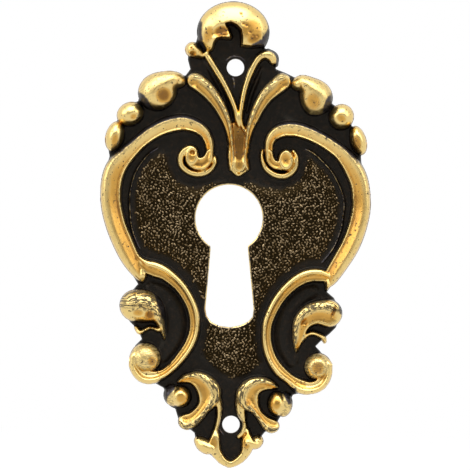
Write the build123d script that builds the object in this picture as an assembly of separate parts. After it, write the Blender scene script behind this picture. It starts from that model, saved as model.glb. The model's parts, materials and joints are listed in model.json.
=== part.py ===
from build123d import *
import os
from math import cos, hypot, pi, radians, sin, sqrt

# Driving dimensions, in millimetres. The plate is drawn lying on its back: X to the right, Y up the plate,
# Z out of the back plane. It is stood upright at the end.
pin_spacing = 49.0  # between the two fixing pin holes, up the plate
side_reach = 17.0  # from the line of the pins to the side of each upper scroll
low_reach = 12.0  # from the line of the pins to the ball of each lower scroll
pin_hole_diameter = 2.4
keyhole_bow_diameter = 9.25
keyhole_neck_width = 5.2
keyhole_foot_width = 6.7
keyhole_height = 19.8
keyhole_shift = -0.5  # the keyhole stands a little left of the line of the pins
keyhole_bow_rise = 3.95  # bow centre above the midpoint of the pins
keyhole_neck_rise = 0.5  # where the slot begins to widen
keyhole_foot_sag = 0.9
keyhole_foot_round = 1.1
web_thickness = 1.2  # low dark fields round the ornament
ground_height = 1.75  # stippled field round the keyhole
scroll_band = 3.05  # widest width of the upper scrolls
scroll_height = 3.6
volute_radius = 3.5  # where an upper scroll begins to wind in
volute_end_radius = 1.3
volute_turn = 270.0  # degrees
volute_stations = 9
volute_widths = (0.46, 0.56)  # first and last, as shares of the band's width
volute_heights = (0.90, 0.95)
lower_band = 1.5
lower_height = 3.5
crown_height = 4.8
crown_width = 10.0
crown_rise = 7.4  # of the oval, up the plate
crown_end = 0.95  # end sections of the oval, as a share of its half width
crown_shoulder = 0.45  # height at the ends of the oval, as a share of its crest
crown_stations = 5
cleft_lift = 0.1  # floor of the cleft under the crown, above the web
shell_height = 4.4
bead_height = 3.9
end_bead_height = 3.6
knob_height = 4.3
knob_leaf_height = 4.0
ball_height = 4.1
plume_width = 1.9
plume_height = 3.8
rib_width = 0.85
rib_height = 3.2
tail_width = 2.3
tail_height = 3.9
stem_width = 2.6
stem_height = 2.7
knob_leaf = 3.4  # widest width of the leaves that trail from the knobs
shell_leaf = 3.0
eye_height = 3.0  # of the round lobes that the tail's leaves curl over
boss_rise = 0.5  # of each round boss, as a share of its radius
boss_reach = 1.05  # the arches over a boss run a little past its radius
ball_radii = (2.15, 1.9)  # left and right
knob_radii = (2.3, 2.1)
knob_arch_radii = (6.0, 7.0)
shell_radii = (2.6, 2.5)
shell_arch_radius = 4.5
bead_radius = 1.65
end_bead_radii = (1.45, 1.35)
eye_radii = (2.15, 1.95)
vein_arch_radius = 14.0
tail_arch_radius = 7.0
field_base = 0.3
inside = 0.5  # forms within the plate start at this height, those on its edge start on the back plane

top_pin = (0.0, pin_spacing / 2)
bottom_pin = (0.0, -pin_spacing / 2)
middle = (0.0, 0.0)
left_side = (-side_reach, 0.0)
right_side = (side_reach, 0.0)
left_low = (-low_reach, 0.0)
right_low = (low_reach, 0.0)
through = 2 * crown_height  # the cuts run this far to both sides of the back plane


def placed(anchor, points):
    return [(anchor[0] + p[0], anchor[1] + p[1]) for p in points]


# Sections of a raised form, as (share of width across, share of height), from the right foot to the left
# foot when looking along it. A band falls off to its left, a leaf falls off to both sides from a soft ridge
# and a blade leans to its right.
band = [(-0.5, 0.0), (-0.4, 0.92), (0.1, 1.0), (0.42, 0.74), (0.5, 0.0)]
leaf = [(-0.5, 0.0), (-0.37, 0.72), (0.0, 1.0), (0.37, 0.72), (0.5, 0.0)]
blade = [(-0.5, 0.0), (-0.22, 1.0), (0.3, 0.85), (0.5, 0.0)]


# A raised form lofted through stations of (x, y, share of width, share of height)
def rib(anchor, section, width, height, stations, foot=0.0):
    places = placed(anchor, stations)
    wires = []
    for i, (x, y) in enumerate(places):
        ahead = places[min(i + 1, len(places) - 1)]
        behind = places[max(i - 1, 0)]
        length = hypot(ahead[0] - behind[0], ahead[1] - behind[1])
        left = (-(ahead[1] - behind[1]) / length, (ahead[0] - behind[0]) / length)
        wide = width * stations[i][2]
        rise = height * stations[i][3] - foot
        wires.append(Wire(Polyline(
            *[(x + left[0] * wide * u, y + left[1] * wide * u, foot + rise * v) for u, v in section],
            close=True).edges()))
    return Solid.make_loft(wires)


# A form with upright sides of arcs, through an odd number of stations of (x, y, share of width). Its top is
# flat, or arched with a radius, falling away to both sides of a line at an angle through the crest point.
def ribbon(anchor, width, height, stations, foot=0.0, arch=None):
    places = placed(anchor, stations)
    sides = [[], []]
    for i, (x, y) in enumerate(places):
        ahead = places[min(i + 1, len(places) - 1)]
        behind = places[max(i - 1, 0)]
        length = hypot(ahead[0] - behind[0], ahead[1] - behind[1])
        half = width * stations[i][2] / 2 / length
        sides[0].append((x - half * (ahead[1] - behind[1]), y + half * (ahead[0] - behind[0])))
        sides[1].append((x + half * (ahead[1] - behind[1]), y - half * (ahead[0] - behind[0])))
    edges = [Edge.make_three_point_arc(*side[i:i + 3]) for side in sides for i in range(0, len(side) - 2, 2)]
    edges += [Edge.make_line(sides[0][end], sides[1][end]) for end in (0, -1)]
    body = Pos(0, 0, foot) * extrude(make_face(edges), height - foot)
    if arch:
        crest, line, radius = arch
        barrel = Rot(0, 0, line) * Rot(0, 90, 0) * Cylinder(radius, 4 * radius)
        body = body & Pos(anchor[0] + crest[0], anchor[1] + crest[1], height - radius) * barrel
    return body


# Stations winding in towards the eye of a scroll, from a start angle through a turn, in degrees
def spiral(eye, start, turn):
    stations = []
    for i in range(volute_stations):
        share = i / (volute_stations - 1)
        radius = volute_radius * (volute_end_radius / volute_radius) ** share
        angle = radians(start + turn * share)
        width = volute_widths[0] + (volute_widths[1] - volute_widths[0]) * share
        height = volute_heights[0] + (volute_heights[1] - volute_heights[0]) * share
        stations.append((eye[0] + radius * cos(angle), eye[1] + radius * sin(angle), width, height))
    return stations


# Stations across an oval dome, from its left end to its right end
def oval(centre, across, tall):
    stations = []
    for i in range(crown_stations):
        share = -crown_end * cos(pi * i / (crown_stations - 1))
        fall = sqrt(1 - share ** 2)
        height = crown_shoulder + (1 - crown_shoulder) * fall
        stations.append((centre[0] + across / 2 * share, centre[1], tall * fall, height))
    return stations


# A round boss, its top arched both ways
def boss(anchor, centre, radius, height, foot=0.0):
    reach = boss_reach * radius
    spring = height - boss_rise * radius
    sides = Polyline((-reach, 0, spring), (-reach, 0, foot), (reach, 0, foot), (reach, 0, spring))
    crest = ThreePointArc((-reach, 0, spring), (0, 0, height), (reach, 0, spring))
    arch = extrude(make_face(sides.edges() + crest.edges()), reach, dir=(0, 1, 0), both=True)
    skirt = Pos(0, 0, (foot + height) / 2) * Cylinder(radius, height - foot)
    return Pos(anchor[0] + centre[0], anchor[1] + centre[1], 0) * (skirt & arch & Rot(0, 0, 90) * arch)


# Low plate, cut to the notches between the raised forms and tucked in under the forms themselves
crest_edge = placed(top_pin, [
    (5.8, 0.0), (5.7, 1.0), (5.0, 2.0), (4.3, 2.5), (4.1, 4.6), (3.0, 6.8), (1.2, 8.0), (-0.6, 8.3),
    (-2.5, 7.9), (-4.1, 6.5), (-5.2, 4.3), (-5.5, 3.3), (-6.3, 3.5), (-6.85, 2.8), (-6.85, 1.8),
    (-6.4, 1.2), (-6.5, 0.3), (-7.0, -0.8)])
left_edge = placed(left_side, [
    (8.6, 23.2), (5.3, 22.4), (4.0, 19.5), (2.3, 18.8), (1.2, 16.8), (0.2, 14.9), (-0.2, 12.3), (-0.7, 9.5),
    (-0.5, 4.7), (0.6, 1.3), (2.3, -1.8), (4.1, -5.2)])
left_low_edge = placed(left_low, [
    (-2.5, -7.6), (-2.5, -10.1), (-0.8, -12.1), (-0.1, -12.8), (-1.2, -14.7), (-1.0, -17.2), (0.8, -18.5),
    (2.4, -19.1)])
tail_edge = placed(bottom_pin, [
    (-9.0, 3.5), (-7.85, 1.5), (-7.3, 0.25), (-6.45, -0.7), (-5.5, -1.1), (-5.0, -1.1), (-5.05, -1.8),
    (-4.65, -2.85), (-3.8, -3.4), (-2.7, -3.5), (-1.2, -4.8), (0.1, -5.4), (1.3, -4.7), (2.6, -3.4),
    (3.2, -3.3), (3.9, -2.9), (4.4, -2.05), (4.4, -1.3), (4.95, -1.1), (6.05, -0.8), (6.7, 0.0),
    (7.0, 1.1), (7.8, 2.9), (8.2, 4.3)])
right_low_edge = placed(right_low, [
    (-1.9, -19.5), (0.4, -18.9), (1.2, -16.6), (0.4, -14.1), (-0.8, -13.6), (0.3, -12.8), (1.8, -11.1),
    (2.3, -8.9)])
right_edge = placed(right_side, [
    (-3.9, -6.0), (-2.0, -3.4), (-0.7, -0.6), (0.5, 2.7), (0.9, 5.9), (0.5, 9.3), (0.2, 12.6), (0.2, 14.8),
    (-0.8, 16.7), (-2.3, 18.6), (-3.8, 19.6), (-5.1, 21.3), (-7.3, 22.6), (-9.4, 23.4)])
plate_edge = crest_edge + left_edge + left_low_edge + tail_edge + right_low_edge + right_edge
outline = Polyline(*plate_edge, close=True)
plate = extrude(make_face(outline), web_thickness)

# Stippled field, standing a step above the low plate inside the scrolls
field_left = placed(left_side, [(4.4, -0.8), (2.7, 5.8), (6.5, 13.3)])
field_right = placed(right_side, [(-6.2, 12.9), (-1.9, 5.8), (-5.1, -2.6)])
field_head = (
    placed(left_side, [(8.9, 11.6), (11.8, 10.2)]) + placed(middle, [(0.5, 10.3)])
    + placed(right_side, [(-10.7, 10.1), (-8.4, 11.1)]))
field_foot = (
    placed(right_low, [(-2.8, -4.4), (-5.5, -6.9), (-7.1, -10.4), (-7.2, -13.5), (-7.1, -16.0)])
    + placed(middle, [(2.8, -17.9), (-3.1, -17.7)])
    + placed(left_low, [(6.6, -16.1), (6.1, -13.8), (6.8, -10.4), (4.6, -5.3)]))
field_edge = (
    ThreePointArc(*field_left).edges()
    + Polyline(field_left[-1], *field_head, field_right[0]).edges()
    + ThreePointArc(*field_right).edges()
    + Polyline(field_right[-1], *field_foot, field_left[0]).edges())
field = Pos(0, 0, field_base) * extrude(make_face(field_edge), ground_height - field_base)

forms = []

# Upper scrolls, from the side joint up and over to the eye
left_eye = (11.3, 12.3)
right_eye = (-10.3, 12.2)
left_volute_start = 58.0
right_volute_start = 111.0
left_scroll = [
    (4.7, -5.0, 0.36, 0.62), (4.0, -3.5, 0.76, 0.83), (2.85, -1.7, 0.90, 0.92),
    (1.8, 0.5, 0.99, 0.97), (0.95, 2.55, 1.01, 1.0), (0.35, 4.85, 1.0, 1.0),
    (0.15, 7.0, 0.99, 1.0), (0.4, 9.25, 1.01, 1.0), (1.05, 10.9, 0.94, 1.0),
    (2.25, 12.35, 0.76, 0.98), (4.0, 14.1, 0.65, 0.95), (6.0, 15.55, 0.61, 0.94),
    (8.05, 16.45, 0.60, 0.94), (10.05, 16.75, 0.60, 0.94), (11.8, 16.4, 0.56, 0.92),
] + spiral(left_eye, left_volute_start, -volute_turn)
right_scroll = [
    (-4.2, -5.5, 0.36, 0.62), (-3.5, -4.0, 0.80, 0.83), (-2.2, -1.85, 0.85, 0.92),
    (-1.05, 0.15, 0.89, 0.97), (-0.2, 2.35, 0.91, 1.0), (0.4, 4.75, 0.87, 1.0), (0.5, 6.55, 0.84, 1.0),
    (0.2, 8.65, 0.87, 1.0), (-0.4, 10.3, 0.89, 1.0), (-1.35, 11.75, 0.81, 0.98),
    (-2.45, 12.9, 0.65, 0.95), (-3.9, 14.05, 0.58, 0.94), (-5.4, 14.9, 0.56, 0.94),
    (-7.05, 15.6, 0.56, 0.94), (-8.75, 16.0, 0.56, 0.93), (-10.25, 16.0, 0.55, 0.92),
] + spiral(right_eye, right_volute_start, volute_turn)
forms.append(rib(left_side, band, scroll_band, scroll_height, left_scroll))
forms.append(rib(right_side, band, scroll_band, scroll_height, right_scroll[::-1]))

# Lower scrolls, from the side joint in towards the keyhole and out round the ball
left_lower = [
    (-0.35, -3.3, 1.28, 0.76), (0.6, -3.25, 1.37, 0.90), (2.0, -3.4, 1.31, 0.95),
    (3.35, -4.1, 1.21, 0.97), (4.7, -5.3, 1.11, 0.97), (5.75, -6.8, 1.07, 0.97),
    (6.5, -8.45, 0.97, 0.97), (6.9, -10.2, 0.94, 0.97), (6.75, -11.95, 0.93, 0.97),
    (6.05, -13.75, 0.95, 0.97), (5.0, -15.3, 0.94, 0.97), (3.85, -16.5, 0.91, 0.97),
    (2.6, -17.5, 0.91, 0.98), (1.2, -18.15, 1.05, 1.0), (-0.15, -17.95, 1.15, 1.0),
    (-1.1, -16.85, 1.15, 1.0), (-1.15, -15.4, 1.10, 1.0), (-0.5, -14.35, 0.91, 1.0)]
forms.append(rib(left_low, leaf, lower_band, lower_height, left_lower))
right_lower = [
    (1.2, -4.65, 1.10, 0.76), (0.1, -3.95, 1.23, 0.90), (-1.4, -4.0, 1.13, 0.95),
    (-2.9, -4.5, 1.10, 0.97), (-4.4, -5.65, 1.03, 0.97), (-5.65, -7.15, 0.99, 0.97),
    (-6.6, -8.85, 0.93, 0.97), (-7.2, -10.65, 0.88, 0.97), (-7.3, -12.55, 0.86, 0.97),
    (-7.0, -14.3, 0.89, 0.97), (-6.35, -15.8, 0.97, 0.97), (-5.3, -17.15, 1.04, 0.97),
    (-4.0, -18.2, 1.07, 0.98), (-2.6, -19.05, 1.10, 1.0), (-1.1, -19.3, 1.10, 1.0),
    (0.15, -18.8, 1.05, 1.0), (0.9, -17.6, 1.01, 1.0), (1.0, -16.15, 0.96, 1.0),
    (0.45, -15.15, 0.83, 1.0)]
forms.append(rib(right_low, leaf, lower_band, lower_height, right_lower))
forms.append(boss(left_low, (0.2, -15.6), ball_radii[0], ball_height))
forms.append(boss(right_low, (-0.15, -16.4), ball_radii[1], ball_height))

# Leaf knobs in the hollows of the lower scrolls, each trailing into a point
left_knob_leaf = [
    (-0.6, -8.1, 1.1), (0.5, -8.5, 1.0), (1.6, -9.45, 0.61), (2.3, -10.95, 0.36),
    (2.8, -12.75, 0.12)]
right_knob_leaf = [
    (0.6, -8.6, 1.1), (-0.4, -8.7, 1.0), (-1.9, -9.6, 0.69), (-2.75, -11.4, 0.42), (-3.2, -14.05, 0.12)]
forms.append(boss(left_low, (-1.0, -8.3), knob_radii[0], knob_height))
forms.append(boss(right_low, (1.1, -8.85), knob_radii[1], knob_height))
left_knob_arch = ((0.0, -8.6), 36.0, knob_arch_radii[0])
right_knob_arch = ((0.0, -9.2), -35.0, knob_arch_radii[1])
forms.append(ribbon(left_low, knob_leaf, knob_leaf_height, left_knob_leaf, inside, left_knob_arch))
forms.append(ribbon(right_low, knob_leaf, knob_leaf_height, right_knob_leaf, inside, right_knob_arch))

# Shell lobe and two beads in a row on each shoulder
left_shell_leaf = [(6.9, 22.1, 1.0), (8.6, 22.75, 0.62), (10.35, 22.85, 0.32)]
right_shell_leaf = [(-6.6, 21.65, 1.0), (-8.0, 22.55, 0.65), (-9.5, 22.75, 0.32)]
forms.append(boss(left_side, (6.25, 21.15), shell_radii[0], shell_height))
forms.append(boss(right_side, (-6.05, 20.6), shell_radii[1], shell_height))
left_shell_arch = (left_shell_leaf[0][:2], 90.0, shell_arch_radius)
right_shell_arch = (right_shell_leaf[0][:2], 90.0, shell_arch_radius)
forms.append(ribbon(left_side, shell_leaf, bead_height, left_shell_leaf, 0.0, left_shell_arch))
forms.append(ribbon(right_side, shell_leaf, bead_height, right_shell_leaf, 0.0, right_shell_arch))
forms.append(boss(left_side, (2.6, 18.0), bead_radius, bead_height))
forms.append(boss(right_side, (-2.3, 17.95), bead_radius, bead_height))
forms.append(boss(left_side, (0.5, 14.9), end_bead_radii[0], end_bead_height))
forms.append(boss(right_side, (-0.05, 14.8), end_bead_radii[1], end_bead_height))

# Plume of two broad and two thin leaves that spring from the stem below the upper pin
left_plume = [
    (-7.05, -1.45, 0.80, 0.68), (-6.2, -1.6, 0.97, 0.92), (-4.85, -2.25, 0.94, 1.0),
    (-3.45, -3.5, 0.83, 1.0), (-2.2, -5.1, 0.72, 0.97), (-1.35, -6.65, 0.64, 0.95),
    (-0.75, -8.3, 0.58, 0.89), (-0.4, -10.25, 0.50, 0.84), (-0.25, -12.15, 0.50, 0.79),
    (-0.1, -13.95, 0.47, 0.55)]
forms.append(rib(top_pin, blade, plume_width, plume_height, left_plume))
right_plume = [
    (8.05, -1.75, 0.87, 0.68), (7.15, -1.9, 1.08, 0.92), (5.6, -2.6, 1.01, 1.0), (4.25, -4.0, 0.90, 1.0),
    (3.3, -5.45, 0.80, 0.97), (2.65, -6.9, 0.68, 0.95), (2.1, -8.55, 0.58, 0.89),
    (1.75, -10.35, 0.50, 0.84), (1.65, -12.15, 0.50, 0.79), (1.6, -13.9, 0.47, 0.55)]
forms.append(rib(top_pin, blade, plume_width, plume_height, right_plume))
left_vein = [
    (-4.1, 2.5, 0.8), (-3.65, 1.55, 0.95), (-2.45, -0.5, 0.95), (-1.25, -2.55, 0.95), (-0.3, -4.6, 0.95),
    (0.35, -6.95, 0.95), (0.6, -8.55, 0.95)]
right_vein = [
    (5.4, 0.7, 0.95), (5.0, 1.45, 1.05), (4.15, 1.9, 1.05), (3.25, 1.55, 1.05), (2.45, 0.35, 1.05),
    (1.8, -1.3, 1.05), (1.2, -3.5, 1.0), (0.85, -6.0, 0.95), (0.75, -8.55, 0.95)]
forms.append(ribbon(top_pin, rib_width, rib_height, left_vein, inside, ((-1.5, -2.0), 0.0, vein_arch_radius)))
forms.append(ribbon(top_pin, rib_width, rib_height, right_vein, 0.0, ((1.5, -2.0), 0.0, vein_arch_radius)))
stem = [
    (0.65, -7.45, 0.63, 0.55), (0.6, -9.1, 0.95, 1.0), (0.55, -11.05, 0.98, 1.0),
    (0.65, -12.95, 1.0, 1.0), (0.75, -14.6, 0.85, 0.60)]
forms.append(rib(top_pin, leaf, stem_width, stem_height, stem, inside))

# Crown dome above the upper pin, wider than it is tall
forms.append(rib(top_pin, leaf, 1.0, crown_height, oval((-0.5, 5.3), crown_width, crown_rise)))

# Tail: two curled leaves, each round a boss, and two thin ribs that meet in the tip
left_crescent = [
    (-8.3, 5.3, 0.40), (-6.6, 6.15, 0.62), (-4.8, 6.2, 0.80), (-3.4, 4.9, 1.0), (-3.4, 3.1, 0.86),
    (-4.3, 1.6, 0.83), (-5.7, 0.5, 0.80)]
right_crescent = [
    (7.0, 4.95, 0.38), (5.3, 5.7, 0.57), (3.6, 5.6, 0.72), (2.35, 4.3, 0.84), (2.5, 2.9, 0.74),
    (3.5, 1.45, 0.68), (4.9, 0.3, 0.70)]
left_tail_arch = ((-3.4, 4.0), 90.0, tail_arch_radius)
right_tail_arch = ((2.5, 4.0), 90.0, tail_arch_radius)
forms.append(ribbon(bottom_pin, tail_width, tail_height, left_crescent, inside, left_tail_arch))
forms.append(ribbon(bottom_pin, tail_width, tail_height, right_crescent, inside, right_tail_arch))
forms.append(boss(bottom_pin, (-7.45, 3.7), eye_radii[0], eye_height))
forms.append(boss(bottom_pin, (6.7, 2.95), eye_radii[1], eye_height))
left_tail_rib = [
    (-2.55, 4.55, 1.1), (-1.8, 2.6, 1.1), (-1.95, 0.3, 1.0), (-2.35, -2.0, 1.2), (-1.95, -3.65, 1.25),
    (-1.0, -4.75, 1.1), (0.2, -5.5, 0.9)]
right_tail_rib = [
    (1.4, 4.2, 1.1), (1.5, 2.4, 1.1), (1.95, 0.1, 1.0), (2.25, -2.0, 1.15), (1.8, -3.8, 1.2),
    (0.95, -4.9, 1.05), (-0.05, -5.55, 0.9)]
forms.append(ribbon(bottom_pin, rib_width, rib_height, left_tail_rib))
forms.append(ribbon(bottom_pin, rib_width, rib_height, right_tail_rib))

body = plate.fuse(field, *forms)

# Hooked cleft under the crown
cleft_edge = Polyline(*placed(top_pin, [
    (-3.1, 1.6), (-3.2, 2.9), (-2.7, 3.65), (-1.8, 4.05), (-0.9, 3.85), (-0.85, 4.6), (-1.4, 5.7),
    (-0.95, 6.3), (-0.15, 5.9), (0.55, 5.0), (0.75, 3.8), (1.0, 2.95), (2.1, 2.85), (3.2, 3.2),
    (3.7, 2.7), (3.2, 1.6)]), close=True)
cleft = Pos(0, 0, web_thickness + cleft_lift) * extrude(make_face(cleft_edge), crown_height)

# Keyhole: round bow over a slot that widens to a shallow curved foot
neck = keyhole_neck_width / 2
flare = keyhole_foot_width / 2
foot = keyhole_bow_rise + keyhole_bow_diameter / 2 - keyhole_height
foot_corner = foot + keyhole_foot_sag
slot_sides = Polyline(
    (flare, foot_corner), (neck, keyhole_neck_rise), (neck, keyhole_bow_rise), (-neck, keyhole_bow_rise),
    (-neck, keyhole_neck_rise), (-flare, foot_corner))
slot_foot = ThreePointArc((-flare, foot_corner), (0, foot), (flare, foot_corner))
slot = Pos(keyhole_shift, 0) * make_face(slot_sides.edges() + slot_foot.edges())
keyhole = slot + Pos(keyhole_shift, keyhole_bow_rise) * Circle(keyhole_bow_diameter / 2)
keyhole = fillet(keyhole.vertices().sort_by(Axis.Y)[:2], keyhole_foot_round)
keyhole = extrude(keyhole, through, both=True)

pins = [Pos(*pin) * Cylinder(pin_hole_diameter / 2, 2 * through) for pin in (top_pin, bottom_pin)]
body = body.cut(cleft, keyhole, *pins)

escutcheon = Rot(90, 0, 0) * body
os.makedirs("parts", exist_ok=True)
export_step(escutcheon, "parts/escutcheon.step")
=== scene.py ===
import json
import math

import bmesh
import bpy
import numpy as np
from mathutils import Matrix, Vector


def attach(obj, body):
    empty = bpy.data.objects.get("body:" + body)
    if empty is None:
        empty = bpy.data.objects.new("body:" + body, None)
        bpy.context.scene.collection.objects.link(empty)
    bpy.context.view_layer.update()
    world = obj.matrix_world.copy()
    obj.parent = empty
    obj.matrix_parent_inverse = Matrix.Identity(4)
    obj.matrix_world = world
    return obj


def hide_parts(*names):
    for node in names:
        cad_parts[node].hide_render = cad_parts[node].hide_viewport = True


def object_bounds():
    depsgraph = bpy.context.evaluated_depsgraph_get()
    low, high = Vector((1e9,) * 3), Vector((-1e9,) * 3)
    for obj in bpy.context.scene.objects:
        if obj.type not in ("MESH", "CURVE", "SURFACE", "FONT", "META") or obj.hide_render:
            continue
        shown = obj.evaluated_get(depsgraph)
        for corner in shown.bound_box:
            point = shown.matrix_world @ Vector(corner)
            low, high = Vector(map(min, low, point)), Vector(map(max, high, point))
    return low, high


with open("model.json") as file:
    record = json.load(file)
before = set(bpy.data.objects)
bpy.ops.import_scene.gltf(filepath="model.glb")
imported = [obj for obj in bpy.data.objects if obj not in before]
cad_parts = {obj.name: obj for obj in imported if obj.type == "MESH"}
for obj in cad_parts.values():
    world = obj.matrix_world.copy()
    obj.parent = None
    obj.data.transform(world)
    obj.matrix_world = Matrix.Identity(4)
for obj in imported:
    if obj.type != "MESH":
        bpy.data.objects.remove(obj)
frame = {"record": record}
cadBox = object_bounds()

mm = 0.001
pinMount = next(m for m in frame["record"]["mounts"] if m["name"] == "pin_holes")
pinSpacing = pinMount["dims"]["spacing_y_mm"]

# The carving is placed by the photograph's own pixels: the two pin holes give its scale and its lean
photo = {
    "size": 470,
    "topPin": (235.5, 67.5),
    "bottomPin": (231.0, 424.5),
}
pinLine = (photo["topPin"][0] - photo["bottomPin"][0], photo["bottomPin"][1] - photo["topPin"][1])
pixel = pinSpacing / math.hypot(*pinLine)  # mm
lean = math.atan2(*pinLine)
photoMiddle = [(a + b) / 2 for a, b in zip(photo["topPin"], photo["bottomPin"])]


def toPlate(points):
    # pixels to mm on the plate, with the lean taken out
    points = np.asarray(points, float)
    across = points[:, 0] - photoMiddle[0]
    up = photoMiddle[1] - points[:, 1]
    c, s = math.cos(lean), math.sin(lean)
    return pixel * np.stack([across * c - up * s, across * s + up * c], axis=1)


def mirrored(half):
    # a section that is alike on both sides, from its inner half
    return half + [(-place, *rest) for place, *rest in reversed(half) if place < 0]


# Sections of the raised forms, from the inner to the outer side of their path: share of the half width, share
# of the height, how bare of patina the brass is there, and how deep its tint, a painted shade that deepens
# the gold where a form faces straight out and in its grooves, partly as tarnish
sections = {
    "band": [
        (-1, 0, 0.1, 0), (-0.96, 0.55, 0.7, 0), (-0.88, 0.80, 1, 0), (-0.76, 0.82, 1, 0.1),
        (-0.68, 0.74, 0.75, 0.5), (-0.62, 0.70, 0.4, 0.9), (-0.56, 0.74, 0.75, 0.9), (-0.46, 0.80, 1, 0.8),
        (-0.1, 0.90, 1, 0.7), (0.15, 0.97, 1, 0.5), (0.4, 1.0, 1, 0.25), (0.58, 0.975, 1, 0.2),
        (0.72, 0.92, 1, 0.2), (0.84, 0.80, 1, 0.25), (0.93, 0.55, 0.7, 0.3), (1, 0, 0.2, 0.3)],
    "leaf": [
        (-1, 0, 0.1, 0), (-0.965, 0.55, 0.6, 0), (-0.9, 0.80, 1, 0), (-0.8, 0.80, 1, 0.1),
        (-0.68, 0.78, 1, 0.5), (-0.5, 0.765, 1, 0.7), (-0.3, 0.775, 1, 0.7), (-0.1, 0.82, 1, 0.5),
        (0.08, 0.89, 1, 0.3), (0.22, 0.96, 1, 0.1), (0.34, 0.99, 1, 0), (0.45, 0.985, 1, 0),
        (0.6, 0.955, 1, 0), (0.75, 0.92, 1, 0), (0.86, 0.875, 1, 0), (0.92, 0.79, 0.9, 0),
        (0.965, 0.55, 0.5, 0.1), (1, 0, 0.15, 0.2)],
    "dish": mirrored([
        (-1, 0, 0.2, 0), (-0.97, 0.5, 0.8, 0), (-0.92, 0.85, 1, 0), (-0.84, 0.98, 1, 0), (-0.7, 1.0, 1, 0.1),
        (-0.4, 0.95, 1, 0.65), (0, 0.92, 1, 0.8)]),
    "ridge": mirrored([
        (-1, 0, 0.2, 0.3), (-0.96, 0.5, 0.9, 0.1), (-0.88, 0.84, 1, 0), (-0.75, 0.93, 1, 0),
        (-0.5, 0.975, 1, 0), (0, 1.0, 1, 0.2)]),
    "dome": [
        (math.sin(a), math.cos(a) ** 0.75, 1 - 0.8 * abs(math.sin(a)) ** 24, max(0, 0.35 - abs(math.sin(a))))
        for a in np.linspace(-math.pi / 2, math.pi / 2, 41)],
    "floor": mirrored([(-1, 0.2, 0.2, 0.8), (-0.85, 0.9, 0.9, 0.9), (-0.5, 1, 1, 1), (0, 0.96, 1, 1)]),
    "dark": mirrored([(-1, 0, 0, 0), (-0.7, 0.45, 0, 0), (-0.35, 0.86, 0, 0), (0, 1, 0.08, 0)]),
    "crease": mirrored([(-1, 0, 0, 0), (-0.5, 0.75, 0.45, 0), (0, 1, 0.55, 0)]),
}

relief = {
    "step": 0.09,  # mm between the points of the carved front
    "margin": 1.5,  # mm of grid beyond the casting
    "far": 9.0,  # mm, stands for any great distance
    "tiny": 1e-9,  # mm, kept out of divisions
    "near": 2.0,  # mm round a polygon where the distance to it is worked out
    "beyond": (1.3, 0.3),  # share of a form's half width that is looked at, and mm more
    "chunk": 4000,  # points worked on at a time
    "pathStep": 0.1,  # mm between the points of a form's path
    "thinnest": 0.06,  # mm, least half width of a form
    "foot": 0.9,  # mm, where the flanks of the forms start, just under the web
    "rim": 0.45,  # mm, least height of the wall round the edge
    "soften": 0.9,  # blur of the carving, in steps
    "cut": (0.12, 0.88),  # shares of a step between which the outline may cut it
    "triangles": 190000,
    "sharp": 55,  # degrees, edges that stay sharp
}


def followPath(stations):
    # a smooth line through the stations, in mm: place, half width, crest, shade and length so far
    stations = np.array([tuple(s) + (0,) * (5 - len(s)) for s in stations], float)
    knots = np.column_stack([toPlate(stations[:, :2]), stations[:, 2] * pixel / 2, stations[:, 3:]])
    knots = np.vstack([2 * knots[0] - knots[1], knots, 2 * knots[-1] - knots[-2]])
    runs = []
    for a, b, c, d in zip(knots, knots[1:], knots[2:], knots[3:]):
        count = max(3, int(np.hypot(*(c - b)[:2]) / relief["pathStep"]))
        t = (np.arange(count) / count)[:, None]
        bend = 2 * a - 5 * b + 4 * c - d
        twist = 3 * b - a - 3 * c + d
        runs.append(0.5 * (2 * b + (c - a) * t + bend * t ** 2 + twist * t ** 3))
    line = np.vstack(runs + [knots[-2:-1]])
    line[:, 2] = np.maximum(line[:, 2], relief["thinnest"])
    length = np.concatenate([[0], np.cumsum(np.hypot(*np.diff(line[:, :2], axis=0).T))])
    return np.column_stack([line, length])


def beyond(half):
    share, more = relief["beyond"]
    return half * share + more


def blurred(field, sigma):
    # Gaussian blur of a grid, sigma in steps
    reach = max(1, int(3 * sigma))
    weights = np.exp(-0.5 * (np.arange(-reach, reach + 1) / sigma) ** 2)
    weights /= weights.sum()
    for axis in (0, 1):
        padded = np.pad(field, [(reach, reach) if a == axis else (0, 0) for a in (0, 1)], mode="edge")
        length = field.shape[axis]
        field = sum(w * np.take(padded, range(i, i + length), axis=axis) for i, w in enumerate(weights))
    return field


def smoothStep(low, high, value):
    t = np.clip((value - low) / (high - low), 0, 1)
    return t * t * (3 - 2 * t)


# How the finish lies on a form
wear = {
    "turn": 1.6,  # how fast a section goes over from one side to the other round the end of a form
    "shadeFrom": (0.40, 0.58),  # shares of the half width over which the shade of a flank begins
    "shadeBare": 0.7,  # what a full shade takes from the bareness
    "shadeTint": 0.55,  # and from the tint
    "shadeScored": 0.5,  # and what it adds to the scoring
    "scoredFrom": (0, 0.4),  # shares of the half width over which the scoring begins
    "domeScored": 0.45,  # how much further in it begins on a dome
    "dentFall": 1.5,  # power that rounds the edge of a dent
    "pitDepth": 0.15,  # mm
    "pitBare": 0.5,
    "pitEdge": 0.5,  # share of a pit's depth at which it is quite dark
    "darkened": 0.75,  # bareness that a patch of painted shade loses
    "darkEdge": 0.45,  # mm
    "polishAndHighlight": -0.8,  # tint of a patch of painted highlight, which turns the brass paler
    "highlightEdge": 0.3,  # mm
}


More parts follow.
